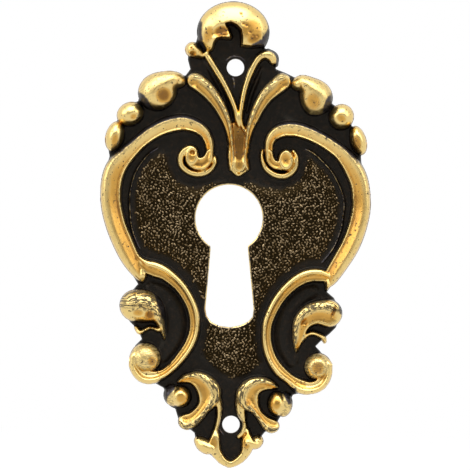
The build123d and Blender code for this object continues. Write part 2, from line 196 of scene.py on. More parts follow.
class Carving:
    # height over the back plane and depth inside the outline, on a grid over the plate, with layers for the
    # finish and the painted shade: how bare the brass is, how deep its tint, how scored, and the place along
    # and across each form
    def __init__(self):
        low, high = cadBox
        step, margin = relief["step"], relief["margin"]
        self.x = np.arange(low.x / mm - margin, high.x / mm + margin, step)
        self.z = np.arange(low.z / mm - margin, high.z / mm + margin, step)
        self.gx, self.gz = np.meshgrid(self.x, self.z, indexing="ij")
        self.height = np.zeros_like(self.gx)
        self.inside = np.full_like(self.gx, -relief["far"])
        self.keyholeGap = np.full_like(self.gx, relief["far"])
        self.layers = {name: np.zeros_like(self.gx) for name in ("bare", "tint", "scored", "along", "across")}

    def window(self, low, high):
        # the part of the grid between two corners
        i = np.searchsorted(self.x, [low[0], high[0]])
        k = np.searchsorted(self.z, [low[1], high[1]])
        return slice(i[0], i[1]), slice(k[0], k[1])

    def polygonDepth(self, points):
        # distance to the outline, positive inside
        corners = toPlate(points)
        area = self.window(corners.min(0) - relief["near"], corners.max(0) + relief["near"])
        px, pz = self.gx[area], self.gz[area]
        nearest = np.full(px.shape, np.inf)
        within = np.zeros(px.shape, bool)
        for (ax, az), (bx, bz) in zip(corners, np.roll(corners, -1, axis=0)):
            ex, ez = bx - ax, bz - az
            t = np.clip(((px - ax) * ex + (pz - az) * ez) / (ex * ex + ez * ez), 0, 1)
            nearest = np.minimum(nearest, (px - ax - t * ex) ** 2 + (pz - az - t * ez) ** 2)
            crosses = (az > pz) != (bz > pz)
            within ^= crosses & (px < ax + (pz - az) * ex / (ez or relief["tiny"]))
        return area, np.where(within, 1, -1) * np.sqrt(nearest)

    def discDepth(self, x, y, radius):
        centre = toPlate([(x, y)])[0]
        return np.s_[:, :], radius * pixel - np.hypot(self.gx - centre[0], self.gz - centre[1])

    def lift(self, area, height, depth, **layers):
        # the higher surface wins, and brings its finish
        height = np.where(depth > 0, height, 0)
        over = height > self.height[area]
        self.height[area] = np.where(over, height, self.height[area])
        self.inside[area] = np.maximum(self.inside[area], depth)
        for name, values in self.layers.items():
            values[area] = np.where(over, layers.get(name, 0.0), values[area])

    def slab(self, points, height, bevel):
        # flat, with a rounded edge
        area, depth = self.polygonDepth(points)
        edge = np.sqrt(np.clip(1 - (1 - np.clip(depth / bevel, 0, 1)) ** 2, 0, 1))
        self.lift(area, height - bevel * (1 - edge), depth)

    def swell(self, points, low, high, slope):
        # rises from its outline to a flat top
        area, depth = self.polygonDepth(points)
        self.lift(area, low + (high - low) * smoothStep(0, slope, depth), depth)

    def rib(self, stations, section="dome", side=1, scored=0.0):
        # a form along a path, by the nearest point of the path and the side of it
        line = followPath(stations)
        wide = beyond(line[:, 2].max())
        area = self.window(line[:, :2].min(0) - wide, line[:, :2].max(0) + wide)
        shape = self.gx[area].shape
        px, pz = self.gx[area].ravel(), self.gz[area].ravel()
        run = np.gradient(line[:, :2], axis=0)
        run /= np.linalg.norm(run, axis=1)[:, None]
        offset, sway, nearest = np.empty(px.size), np.empty(px.size), np.empty(px.size, int)
        for start in range(0, px.size, relief["chunk"]):
            part = slice(start, start + relief["chunk"])
            dx = px[part, None] - line[None, :, 0]
            dz = pz[part, None] - line[None, :, 1]
            share = (dx ** 2 + dz ** 2) / line[None, :, 2] ** 2
            best = share.argmin(1)
            row = np.arange(best.size)
            turn = run[best, 0] * dz[row, best] - run[best, 1] * dx[row, best]
            offset[part] = np.sqrt(share[row, best])
            sway[part] = side * turn / np.maximum(np.hypot(dx[row, best], dz[row, best]), relief["tiny"])
            nearest[part] = best
        offset, sway = offset.reshape(shape), sway.reshape(shape)
        half, crest, shade, along = (line[nearest, column].reshape(shape) for column in (2, 3, 4, 5))
        self.raiseOver(area, section, offset, sway, half, crest, shade, along, None, scored)

    def ovalShare(self, x, y, across, tall, turn):
        # distance from the middle of an oval, 1 at its edge
        centre = toPlate([(x, y)])[0]
        reach = beyond(max(across, tall) * pixel)
        area = self.window(centre - reach, centre + reach)
        dx, dz = self.gx[area] - centre[0], self.gz[area] - centre[1]
        c, s = math.cos(math.radians(turn)), math.sin(math.radians(turn))
        return area, np.hypot((dx * c + dz * s) / across, (dz * c - dx * s) / tall) / pixel

    def oval(self, x, y, across, tall, turn, crest, section="dome", scored=0.0):
        area, offset = self.ovalShare(x, y, across, tall, turn)
        ones = np.ones(offset.shape)
        half = min(across, tall) * pixel * ones
        self.raiseOver(
            area, section, offset, ones, half, crest * ones, 0.0, self.gx[area], self.gz[area], scored)

    def raiseOver(self, area, section, offset, sway, half, crest, shade, along, level, scored):
        # lays a section over the ground: offset is 1 at its edge, sway goes from -1 inside to 1 outside
        place, *rows = np.array(sections[section], float).T
        sway = np.clip(wear["turn"] * sway, -1, 1)
        outer = (1 + sway) / 2
        share, bare, tint = (
            outer * np.interp(offset, place, row) + (1 - outer) * np.interp(-offset, place, row)
            for row in rows)
        across = offset * sway
        shaded = shade * smoothStep(*wear["shadeFrom"], across)
        strokesIn = across + (wear["domeScored"] if section == "dome" else 0)
        self.lift(
            area, relief["foot"] + (crest - relief["foot"]) * share, (1 - offset) * half,
            bare=bare * (1 - wear["shadeBare"] * shaded),
            tint=tint * (1 - wear["shadeTint"] * shade),
            scored=(scored + wear["shadeScored"] * shade) * smoothStep(*wear["scoredFrom"], strokesIn),
            along=along,
            across=across * half if level is None else level)

    def dent(self, x, y, across, tall, turn, depth, tint=1.0):
        area, offset = self.ovalShare(x, y, across, tall, turn)
        bite = np.clip(1 - offset ** 2, 0, 1)
        self.height[area] -= depth * bite ** wear["dentFall"]
        self.deepen(area, tint * smoothStep(0, 1, bite))

    def pit(self, x, y, radius):
        area, offset = self.ovalShare(x, y, radius, radius, 0)
        bite = np.clip(1 - offset ** 2, 0, 1)
        self.height[area] -= wear["pitDepth"] * bite
        dark = smoothStep(0, wear["pitEdge"], bite)
        self.layers["bare"][area] *= 1 - wear["pitBare"] * dark
        self.deepen(area, dark)

    def deepen(self, area, tint):
        # only a stronger tint shows
        self.layers["tint"][area] = np.maximum(self.layers["tint"][area], tint)

    def darken(self, points):
        # painted shade: the brass in the patch goes back towards the dark patina
        area, depth = self.polygonDepth(points)
        patch = smoothStep(-wear["darkEdge"], wear["darkEdge"], depth)
        self.layers["bare"][area] *= 1 - wear["darkened"] * patch

    def paintHighlight(self, points):
        # painted highlight: the brass in the patch is made paler, as where light falls on it
        area, depth = self.polygonDepth(points)
        patch = smoothStep(-wear["highlightEdge"], wear["highlightEdge"], depth)
        self.layers["tint"][area] += (wear["polishAndHighlight"] - self.layers["tint"][area]) * patch

    def sink(self, points, floor, bevel):
        # a dark pocket with a level floor
        area, depth = self.polygonDepth(points)
        bite = smoothStep(-bevel, bevel, depth)
        self.height[area] = np.minimum(self.height[area], self.height[area] * (1 - bite) + floor * bite)
        self.layers["bare"][area] *= 1 - smoothStep(0, bevel, depth)

    def hole(self, area, depth):
        self.inside[area] = np.minimum(self.inside[area], -depth)


# The lists below are in pixels of the photograph. A station is (x, y, width, crest in mm, shade of the outer
# flank). An oval or a dent is (x, y, half width, half height, turn, crest or depth in mm), and a dent's tint,
# a painted shade that deepens the brass in the dent, follows its depth
sides = (("left", 1), ("right", -1))  # and which way their sections face

# Low plate: its outline runs a little inside the lobes and touches the notches between them
plate = {
    "web": 1.2,  # mm
    "webBevel": 0.2,
    "field": 1.75,
    "outline": [
        (232, 6), (250, 9), (262, 20), (266, 34), (264, 47), (270, 53), (275, 61), (276, 69), (286, 73),
        (296, 78), (312, 81), (324, 89), (330, 102), (340, 109), (348, 117), (352, 126), (359, 132),
        (363, 144), (361, 157), (362, 170), (366, 190), (367, 205), (365, 222), (359, 243), (349, 262),
        (336, 279), (327, 292), (334, 298), (339, 308), (339, 318), (336, 327.5), (329.5, 334), (322, 340),
        (315.5, 346.5), (319.5, 350.5), (326, 359), (328, 369), (323, 381), (313, 389), (303, 392),
        (293, 395), (290, 401), (284, 411), (279, 419), (275, 427), (265, 432), (261, 437), (258, 445),
        (250, 449), (246, 454), (238, 462), (229, 466), (220, 462), (212, 456), (204, 450), (196, 442),
        (194.5, 433), (187, 427), (178, 418), (175, 408), (168, 400), (163.5, 388), (153, 382), (142, 376),
        (134, 367), (132, 357), (135.2, 345.5), (141.8, 339), (138, 330), (130, 322), (125, 313),
        (125, 302), (131, 292), (138, 284), (130, 271), (118, 250), (109, 230), (104, 210), (103, 190),
        (106, 170), (109.5, 156), (108, 147), (109, 133), (115, 123), (119, 118), (124, 107), (138, 101),
        (141, 92), (149, 81), (161, 75), (178, 75), (185.5, 75.5), (190.3, 69), (188, 60), (188, 50),
        (196, 42), (198, 35), (203, 22), (213, 10), (222, 7)],
    "fieldEdge": [
        (141, 250), (136.5, 242), (133, 232), (131, 221), (130, 208), (130.3, 195), (133, 180), (138, 168),
        (147, 156), (158, 148), (170, 150), (174, 166), (180, 177), (196, 183), (212, 178), (222, 177),
        (238, 180), (254, 177), (262, 181), (280, 184), (297, 177), (301, 164), (304, 152), (313, 153),
        (322, 161), (331, 171), (337, 181), (342, 193), (344, 205), (343, 216), (341, 228), (337, 240),
        (332, 250), (326, 259), (320, 265), (309, 265), (297, 270), (284, 280), (274, 292), (266, 306),
        (261, 322), (260, 338), (262, 352), (267, 364), (258, 372), (246, 380), (233, 384), (218, 377),
        (207, 367), (198, 357), (200, 344), (202, 332), (203, 320), (201, 307), (195, 292), (186, 278),
        (175, 267), (163, 260), (150, 256)],
    "fieldSlope": 2.4,  # mm over which the field falls to the web
    "leftCrease": [
        (158, 148, 2, 1.5), (148, 155, 2.6, 1.8), (138, 168, 2.6, 1.85), (133, 180, 2.6, 1.85),
        (130, 195, 2.6, 1.85), (130, 210, 2.6, 1.85), (131, 222, 2.6, 1.85), (133, 232, 2.4, 1.8),
        (137, 243, 2.2, 1.7), (140, 249, 2, 1.5)],
    "rightCrease": [
        (306, 149.5, 2, 1.5), (313, 153, 2.6, 1.8), (322, 161, 2.6, 1.85), (331, 171, 2.6, 1.85),
        (337, 181, 2.6, 1.85), (342, 193, 2.6, 1.85), (344, 205, 2.6, 1.85), (343, 215, 2.6, 1.85),
        (341, 228, 2.6, 1.85), (337, 240, 2.4, 1.8), (332, 250, 2.2, 1.7), (322, 263, 2, 1.5)],
    "stippleMargin": (3, 8),  # pixels from the field's edge over which the grains begin
}


def carveGround(carving):
    carving.slab(plate["outline"], plate["web"], plate["webBevel"])
    carving.swell(plate["fieldEdge"], plate["web"], plate["field"], plate["fieldSlope"])
    for name, _ in sides:
        carving.rib(plate[name + "Crease"], "crease")


crown = {
    "dome": (233.2, 32, 36.3, 30.5, 0, 4.8),
    "lobe": [(192.5, 49.5, 15, 3.3), (197, 52.5, 12, 3.1), (202, 56, 6, 2.4)],
    "dents": [
        (221.5, 33, 10.5, 7.5, 15, 0.85), (208.5, 36, 6.5, 12, -15, 0.2, 0.7),
        (251.5, 31, 14.5, 14, 0, 0.12, 0.72), (254.5, 39, 10.5, 6.5, 30, 0.15, 1),
        (193.5, 54, 4.5, 4, 0, 0.3, 0.9)],
    "pits": [(243, 25), (246.5, 26.5), (250, 33), (253, 36), (257, 36.5), (241.5, 15), (191.5, 48.5)],
    "pitRadius": 1.7,
    "shades": [
        [(194, 20), (203, 22), (202.5, 34), (204, 42), (208, 50), (196, 50)],
        [(272, 26), (265, 32), (260.5, 39), (252, 43.5), (248, 50), (272, 50)]],
    "cleft": [
        (226, 24.8), (228.8, 30), (231.5, 37), (230.5, 39.8), (222, 38.6), (217, 39.8), (214.5, 43.5),
        (213, 50), (206, 54), (214, 68), (222, 82), (250, 82), (256, 62), (268, 52), (262, 46.5),
        (252, 47.8), (241.3, 46.8), (241.8, 38), (240.8, 31), (236.5, 26.5), (231.5, 24)],
    "cleftFloor": 1.3,  # mm
    "cleftBevel": 0.14,
}


def carveCrown(carving):
    carving.oval(*crown["dome"])
    carving.rib(crown["lobe"])
    for dent in crown["dents"]:
        carving.dent(*dent)
    for x, y in crown["pits"]:
        carving.pit(x, y, crown["pitRadius"])
    for shade in crown["shades"]:
        carving.darken(shade)
    carving.sink(crown["cleft"], crown["cleftFloor"], crown["cleftBevel"])


plume = {
    "scored": 0.8,
    "left": [
        (195.3, 81.3, 17, 3.5), (200, 84.3, 17, 3.8), (209.5, 93, 15, 3.8), (218, 104.3, 12.5, 3.7),
        (224.3, 116, 10.5, 3.6), (228.2, 127, 8, 3.4), (230, 137, 6, 3.2), (231.2, 147, 5, 3.1),
        (232.3, 156, 4.6, 3.0), (231.8, 164, 5, 3.0), (230.5, 169, 4, 2.7)],
    "right": [
        (282, 82.3, 18, 3.5), (276.3, 87, 17, 3.8), (266.5, 96, 15, 3.8), (259.3, 107, 12.5, 3.7),
        (254.2, 118, 10.5, 3.6), (250.3, 128, 8, 3.4), (248.3, 137, 6, 3.2), (247, 147, 5, 3.1),
        (246, 156, 4.6, 3.0), (246.6, 164, 5, 3.0), (248, 169, 4, 2.7)],
    "leftVein": [
        (206.5, 54.5, 6.5, 2.4), (210.5, 61.5, 7, 2.6), (217.5, 73, 6.8, 2.7), (225.5, 87, 6.4, 2.7),
        (232, 101, 6, 2.7), (235.5, 111, 5.6, 2.7), (236.8, 119, 5, 2.7), (239, 126, 3.5, 2.5)],
    "rightVein": [
        (273, 61.5, 7.5, 2.4), (270.8, 57.3, 9.5, 2.8), (265.5, 55.3, 8.5, 2.9), (259.5, 58, 7.4, 2.8),
        (254.8, 64.5, 7, 2.7), (251, 72, 7, 2.7), (247.5, 81, 6.6, 2.7), (244.3, 92, 6.2, 2.7),
        (242, 104, 5.8, 2.7), (240.7, 115, 5, 2.7), (241.5, 124, 4, 2.7), (246.3, 134, 3, 2.6)],
    "rightHook": [(268, 53, 9, 2.4), (273.5, 57, 10, 2.6), (275.5, 64, 6, 2.2)],
    "stem": [
        (238.5, 117, 5, 1.6), (238.5, 124, 13, 1.9), (238.5, 131, 19, 2.1), (238.8, 139, 19, 2.25),
        (239, 147, 17, 2.35), (239.1, 155, 15, 2.5), (239.2, 163, 16, 2.65)],
    "stemFoot": [(239.2, 156, 10, 2.4), (239.2, 162, 13.5, 2.75), (239.2, 166.5, 14, 2.8)],
    "stemRim": [
        (229, 147, 2.4, 2.4), (229.3, 155, 3, 2.6), (229.6, 162, 3, 2.6), (231, 168.5, 3.2, 2.6),
        (234.5, 173, 3.2, 2.6), (239, 175, 3.4, 2.6), (243.5, 172.8, 2.8, 2.4), (247.5, 169.5, 2.4, 2.2)],
    "flutes": [
        [(205, 62, 5, 1.4), (213, 76, 7, 1.65), (222, 93, 7, 1.65), (229, 111, 5, 1.5)],
        [(262, 68, 5, 1.4), (257, 80, 7, 1.65), (251, 95, 7, 1.65), (247, 112, 5, 1.5)]],
}


def carvePlume(carving):
    for flute in plume["flutes"]:
        carving.rib(flute, "dark")
    carving.rib(plume["stem"], "floor")
    carving.rib(plume["stemFoot"], "dish")
    carving.rib(plume["stemRim"], "ridge")
    carving.rib(plume["rightHook"], "dark")
    for name, side in sides:
        carving.rib(plume[name + "Vein"], "ridge")
        carving.rib(plume[name], "leaf", side, plume["scored"])


shoulders = {
    "scored": 0.25,
    "left": [
        (154.5, 93, 33, 4.4), (158, 91.3, 37, 4.4), (164.5, 85.3, 28, 4.3), (171, 81, 20, 4.1),
        (176.5, 80.5, 16.5, 3.8), (179.5, 81.5, 13, 3.4)],
    "right": [
        (315, 101.5, 28, 4.3), (316, 97, 33, 4.4), (309.7, 88, 22, 4.2), (302.3, 83.5, 17, 3.9),
        (298, 84.3, 14, 3.5)],
    "leftDents": [(164.3, 96, 10.5, 10.5, -25, 0.7)],
    "rightDents": [(313, 102, 10.5, 12, 0, 0.25, 0.72)],
    "leftShade": [(137, 91), (143, 93), (149, 100), (153, 107), (157, 112), (146, 112), (134, 104)],
    "rightShade": [(331, 92), (326, 97), (323.5, 103), (321, 113), (330, 114), (337, 104)],
    "leftBead": (130.3, 114, 13.8, 11.8, 25, 3.9),
    "rightBead": (341.4, 117, 12.4, 13, -25, 3.9),
    "leftEndBead": (114.8, 136.3, 9.3, 15.3, -14, 3.6),
    "rightEndBead": (358.3, 140.5, 8, 15, 17, 3.6),
    "leftBeadDents": [(134, 117, 5, 4, 25, 0.2, 0.7), (115.5, 140.5, 4.5, 9, -14, 0.12, 0.75)],
    "rightBeadDents": [(341, 119, 6.5, 5, -25, 0.15, 0.7), (356.5, 143, 5.5, 10, 17, 0.2, 0.85)],
}


def carveShoulders(carving):
    for name, side in sides:
        carving.rib(shoulders[name], "dome", side, shoulders["scored"])
        carving.darken(shoulders[name + "Shade"])
        carving.oval(*shoulders[name + "Bead"])
        carving.oval(*shoulders[name + "EndBead"])
        for dent in shoulders[name + "Dents"] + shoulders[name + "BeadDents"]:
            carving.dent(*dent)


scrolls = {
    "scored": 0.1,
    "left": [
        (142, 279.5, 5, 2.4), (137.7, 270.5, 14.5, 3.0), (130, 257, 19.5, 3.3), (122.5, 241, 21, 3.5),
        (116.5, 226, 21, 3.6), (112.3, 209, 21.5, 3.6), (111, 193.5, 21.5, 3.6), (113, 177, 22, 3.6, 0.2),
        (118, 165, 21, 3.6, 0.6), (127, 154.5, 17.5, 3.55, 0.9), (140, 142, 15, 3.5, 1),
        (154.5, 131.5, 15.5, 3.45, 1), (169.5, 125, 16.5, 3.45, 1), (184, 123, 16.5, 3.45, 1),
        (196.5, 126.5, 14, 3.4, 0.9), (204.5, 133, 11.5, 3.35, 0.6), (209, 142, 9.5, 3.3, 0.3),
        (210, 151, 8.5, 3.25), (208.5, 158, 9.5, 3.2)],
    "right": [
        (327.5, 286, 5, 2.4), (331.3, 276.5, 15.5, 3.0), (341, 261, 18.5, 3.3), (349.5, 246.5, 19.5, 3.5),
        (356, 230.5, 19.5, 3.6), (360.3, 213, 19.5, 3.6), (361, 200, 19.5, 3.6),
        (359.3, 184.5, 19.5, 3.6, 0.2), (355, 172.5, 20, 3.6, 0.5), (348.5, 162, 18, 3.55, 0.8),
        (340.5, 153, 15.5, 3.5, 0.9), (330, 145, 14.5, 3.45, 0.9), (319, 138.3, 14.5, 3.45, 1),
        (307, 132.8, 15, 3.45, 1), (295, 129.5, 15.5, 3.45, 1), (284, 129.8, 15, 3.4, 0.9),
        (275, 134, 12.5, 3.35, 0.6), (269.8, 141, 10, 3.3, 0.3), (268.7, 149, 9, 3.25),
        (269.3, 156, 8.5, 3.2)],
    "leftTongue": [
        (209.5, 154, 8.5, 3.1), (207.7, 159.5, 11, 3.15), (202.5, 163.7, 13.5, 3.2),
        (196.3, 163.3, 14.5, 3.2), (191.8, 159.3, 14, 3.2), (191.5, 154, 11.5, 3.2)],
    "rightTongue": [
        (269, 154, 8, 3.1), (270.5, 160.5, 9, 3.15), (275, 165, 9.5, 3.15), (281, 165.5, 11, 3.2)],
    "leftRim": [
        (214.3, 157, 4, 2.4), (215, 162, 5, 2.6), (211.7, 168.5, 5.4, 2.65), (205.7, 172.7, 6.4, 2.7),
        (198, 174.3, 6.8, 2.7), (190.5, 172.7, 6.8, 2.7), (184.3, 168.7, 6.8, 2.75), (181, 163.5, 7, 2.8),
        (181.2, 156.5, 7.4, 2.9), (184.3, 151.2, 7.2, 3.0), (190, 148.2, 6.5, 3.15), (195, 149.7, 4.5, 3.2),
        (197, 155, 3.2, 3.1)],
    "rightRim": [
        (262.3, 150, 3, 2.1), (262, 158, 4, 2.3), (265.2, 167.3, 5.8, 2.5), (271.2, 173, 6.6, 2.7),
        (278, 176, 6.8, 2.7), (285, 176, 6.8, 2.7), (291.2, 172.8, 6.6, 2.7), (295.5, 167, 6, 2.6),
        (296.4, 160, 5.4, 2.6), (295.5, 154.5, 4.5, 2.5), (293, 151, 3.5, 2.4)],
    "leftEye": (191.8, 156.5, 7, 9.5, 0, 3.25),
    "rightEye": (286, 160.5, 8.1, 11.2, 0, 3.4),
    "leftEyeDent": (192.6, 152.5, 3.6, 3.4, 0, 0.4),
    "rightEyeDent": (285, 159, 6, 8, 0, 0.12, 0.75),
}


def carveScrolls(carving):
    for name, side in sides:
        carving.rib(scrolls[name], "band", side, scrolls["scored"])
        carving.rib(scrolls[name + "Tongue"], "dish")
        carving.oval(*scrolls[name + "Eye"], "dish")
        carving.rib(scrolls[name + "Rim"], "ridge")
        carving.dent(*scrolls[name + "EyeDent"])


lowerScrolls = {
    "scored": 0.5,
    "left": [
        (136, 253.5, 4, 2.9), (141, 260.5, 7, 3.1), (147.5, 266.3, 13.5, 3.25), (155, 269, 16, 3.35),
        (164, 272.5, 14.5, 3.4), (172, 278.3, 13.5, 3.4), (180, 286, 12.5, 3.4), (187, 296, 11.8, 3.4),
        (192.3, 307.5, 11.2, 3.4), (194.8, 320, 11, 3.4), (194, 332.5, 11, 3.4), (189, 345.5, 11, 3.4),
        (181, 357, 10.5, 3.4), (173, 366, 9.5, 3.4), (163.7, 373.3, 9.5, 3.45), (153, 377, 13, 3.5),
        (143, 375.5, 14, 3.6), (136.5, 367, 14, 3.6), (136, 357, 13, 3.6)],
    "right": [
        (328, 277.5, 9, 2.9), (320, 275.3, 13.5, 3.25), (309.5, 275.5, 14, 3.4), (299, 279.5, 13.5, 3.4),
        (288, 288, 12.5, 3.4), (279, 298.5, 12, 3.4), (272, 311, 11.3, 3.4), (267.3, 324, 10.5, 3.4),
        (266.3, 338, 10.5, 3.4), (268.4, 350.5, 11, 3.4), (273, 361.5, 11.5, 3.4), (280.5, 371.5, 12, 3.4),
        (289.7, 379, 11, 3.45), (300, 386, 14.5, 3.5), (311, 387.5, 13, 3.55), (320, 384, 12.5, 3.6),
        (325.5, 375.5, 12, 3.6), (326.5, 365, 11.5, 3.6)],
    "leftTip": [(142.3, 271, 5, 2.8), (143.3, 276, 7, 2.9), (142.5, 281, 3, 2.4)],
    "rightTip": [(327.5, 280, 3, 2.8), (327.8, 285, 4, 2.9), (326.5, 289, 3, 2.4)],
    "leftBall": (145.3, 358, 15.5, 15.5, 0, 4.1),
    "rightBall": (318, 366.5, 13.8, 13.5, 0, 4.1),
    "leftBallDent": (152, 360.5, 5.5, 6.5, 0, 0.3, 0.85),
    "rightBallDent": (317.5, 367.5, 8.5, 8.5, 0, 0.2, 0.8),
    # painted highlights on the rings round the balls
    "leftPaintedHighlight": [
        (128, 362), (134, 372), (142, 382), (154, 384), (160, 378), (152, 371), (143, 368), (136, 358)],
    "rightPaintedHighlight": [
        (332, 366), (329, 377), (321, 386), (309, 390), (306, 384), (314, 381), (321, 377), (325, 368)],
    "leftHollow": [
        (152, 288, 20, 1.5), (163, 295, 27, 1.65), (172, 308, 31, 1.7), (175, 323, 32, 1.7),
        (172, 340, 30, 1.65), (163, 356, 22, 1.5)],
    "rightHollow": [
        (313, 291, 20, 1.5), (302, 297, 27, 1.65), (291, 310, 31, 1.7), (286, 326, 32, 1.7),
        (286, 344, 30, 1.65), (292, 361, 22, 1.5)],
}


def carveLowerScrolls(carving):
    for name, side in sides:
        carving.rib(lowerScrolls[name + "Hollow"], "dark")
        carving.rib(lowerScrolls[name], "leaf", side)
        carving.rib(lowerScrolls[name + "Tip"], "ridge")
        carving.paintHighlight(lowerScrolls[name + "PaintedHighlight"])
        carving.oval(*lowerScrolls[name + "Ball"], scored=lowerScrolls["scored"])
        carving.dent(*lowerScrolls[name + "BallDent"])


knobs = {
    "scored": 1.0,
    "leftSection": "dome",
    "rightSection": "leaf",
    "left": [
        (135.5, 305.5, 32, 4.2), (143, 305.8, 32.5, 4.2), (150, 308, 27.5, 4.1), (155.5, 312.5, 19, 4.0),
        (159.3, 319, 11, 3.7), (161.6, 326, 6.5, 3.4), (163.2, 332, 4.5, 3.0), (164.6, 338.5, 2.5, 2.2)],
    "right": [
        (328.3, 313.2, 28, 4.2), (321, 312.5, 25, 4.2), (312.3, 313.8, 22.5, 4.1), (304.7, 318.7, 20, 4.0),
        (300.3, 326, 16.5, 3.8), (298.5, 335, 12.5, 3.6), (297, 343, 8.5, 3.2), (296.2, 350.5, 3, 2.3)],
    "leftLip": [
        (136, 327.5, 4, 2.4), (139.5, 332, 4.8, 2.8), (144, 330.5, 3.6, 2.9), (149, 327.8, 3.2, 2.8),
        (154, 328.3, 3, 2.6), (158.7, 329.7, 4.8, 3.0)],
    "rightLip": [
        (324.5, 341.5, 4, 2.4), (323.3, 338, 5.4, 2.8), (318.5, 335, 4.4, 3.0), (312.5, 333.3, 4.2, 3.0),
        (307, 335, 4, 2.9), (302, 341, 3, 2.5)],
    "leftShade": [(154, 290), (167, 300), (167, 324), (161, 318), (157, 306)],
    "rightShade": [(333, 296), (344, 302), (344, 316), (338.5, 314), (337.5, 306)],
    "leftDents": [(150.3, 315, 6.5, 6, 0, 0.45), (138.5, 312.5, 7.5, 4.5, 0, 0.2, 0.65)],
    "rightDents": [(333.5, 311, 2.2, 8, -20, 0.5), (304, 322, 5, 4, 40, 0.3, 0.8)],
}


def carveKnobs(carving):
    for name, side in sides:
        carving.rib(knobs[name], knobs[name + "Section"], side, knobs["scored"])
        carving.darken(knobs[name + "Shade"])
        for dent in knobs[name + "Dents"]:
            carving.dent(*dent)
        carving.rib(knobs[name + "Lip"], "ridge")


tail = {
    "scored": 1.0,
    "lobeScored": 0.5,
    "ribScored": 0.6,
    "left": [
        (179, 381.5, 3, 2.4), (185, 378.5, 7.5, 3.1), (191, 377.8, 10.5, 3.6), (198, 379, 16, 3.8),
        (205, 384, 21, 3.9), (209.3, 391.5, 24, 3.9), (208.7, 398.5, 20.5, 3.9), (204.5, 406, 14, 3.8),
        (199, 413.3, 13.5, 3.6), (192.3, 419.3, 15.5, 3.5), (187, 421.5, 16.5, 3.2), (185, 421, 14, 3.0)],
    "right": [
        (276.5, 387, 3, 2.4), (271, 385, 8.5, 3.1), (264, 383.7, 13, 3.6), (256.3, 385, 17, 3.8),
        (249.7, 389.7, 21.5, 3.9), (247.3, 396.5, 23, 3.9), (250, 402.3, 18, 3.9),
        (254.5, 408.3, 10.5, 3.7), (259.5, 415, 8.5, 3.5), (265, 421.5, 11.5, 3.3),
        (270.5, 425.5, 14.5, 3.1), (273, 426, 13, 2.9)],
    "leftBase": [(178, 397, 24, 2.4), (181, 397, 24, 2.4)],
    "rightBase": [(280, 403.5, 25, 2.4), (279, 404, 25, 2.4)],
    "leftLobe": (173, 395.3, 9.5, 11, 12, 3.0),
    "rightLobe": (284, 404.5, 8.5, 12.5, -8, 3.0),
    "leftEye": (180.5, 396.5, 10, 10.5, 0, 3.8),
    "rightEye": (277, 403.7, 9, 12, 0, 3.7),
    "leftEyeDent": (181.5, 397.5, 7, 7, 0, 0.2, 0.72),
    "rightEyeDent": (276, 403, 6.5, 9, 0, 0.12, 0.72),
    "rightFork": (249.5, 400, 5, 8.5, -30, 0.1, 0.9),
    "leftBladeDent": (213.3, 443, 6.5, 10, 0, 0.12, 0.7),
    "rightBladeDent": (246.3, 440, 6, 12, 0, 0.12, 0.85),
    "leftShade": [(158, 380), (177, 382), (175, 390), (170, 395), (167, 403), (158, 403)],
    "rightShade": [(280, 386), (297, 386), (297, 405), (288, 405), (284, 398)],
    "leftRib": [
        (216.5, 396, 8, 3.2), (218.5, 403, 7, 3.1), (219.3, 410, 6, 3.0), (218.7, 417, 5, 2.8),
        (217.3, 424, 4.5, 2.6), (216, 430, 4, 2.6)],
    "rightRib": [(240.7, 401, 11, 3.2), (240.7, 409, 10, 3.1), (242, 415, 8, 2.9), (244, 420.5, 4.5, 2.5)],
    "leftBlade": [
        (217, 424, 4, 2.3), (215.6, 430, 5, 2.6), (215.3, 436.5, 9.5, 3.0), (214.3, 443.5, 12.5, 3.1),
        (215.7, 450.5, 11.5, 3.0), (219.3, 456.3, 10, 2.9), (223.7, 461, 8.5, 2.8), (230, 464, 7, 2.7)],
    "rightBlade": [
        (247.5, 429.5, 3, 2.3), (248, 435, 6, 2.7), (247.5, 441, 12.5, 3.1), (247, 448, 11.5, 3.0),
        (244.3, 454, 9.5, 2.9), (239.8, 459, 8.7, 2.8), (234, 462.7, 7.5, 2.7), (229, 464.3, 7, 2.7)],
    "leftCurl": [(198.5, 440.5, 9, 2.5), (202.5, 444, 14, 2.9), (207, 446.7, 15, 3.1), (212, 448, 12, 3.2)],
    "rightCurl": [
        (257.5, 441, 12, 2.6), (255.3, 443, 12.5, 2.9), (251.5, 443, 11, 3.1), (248, 441.5, 10, 3.2)],
    "pinLip": [(242, 418, 3, 1.8), (244.8, 425, 4.6, 2.1), (243, 432.5, 5, 2.2), (238.7, 436.7, 4.4, 2.0)],
}


def carveTail(carving):
    for name, side in sides:
        carving.rib(tail[name + "Base"], "dark")
        carving.oval(*tail[name + "Lobe"], scored=tail["lobeScored"])
        carving.darken(tail[name + "Shade"])
        carving.oval(*tail[name + "Eye"])
        carving.dent(*tail[name + "EyeDent"])
        carving.rib(tail[name], "leaf", side, tail["scored"])
        carving.rib(tail[name + "Rib"], "ridge", side, tail["ribScored"])
        carving.rib(tail[name + "Blade"], "ridge")
        carving.dent(*tail[name + "BladeDent"])
        carving.rib(tail[name + "Curl"])
    carving.dent(*tail["rightFork"])
    carving.rib(tail["pinLip"], "ridge")


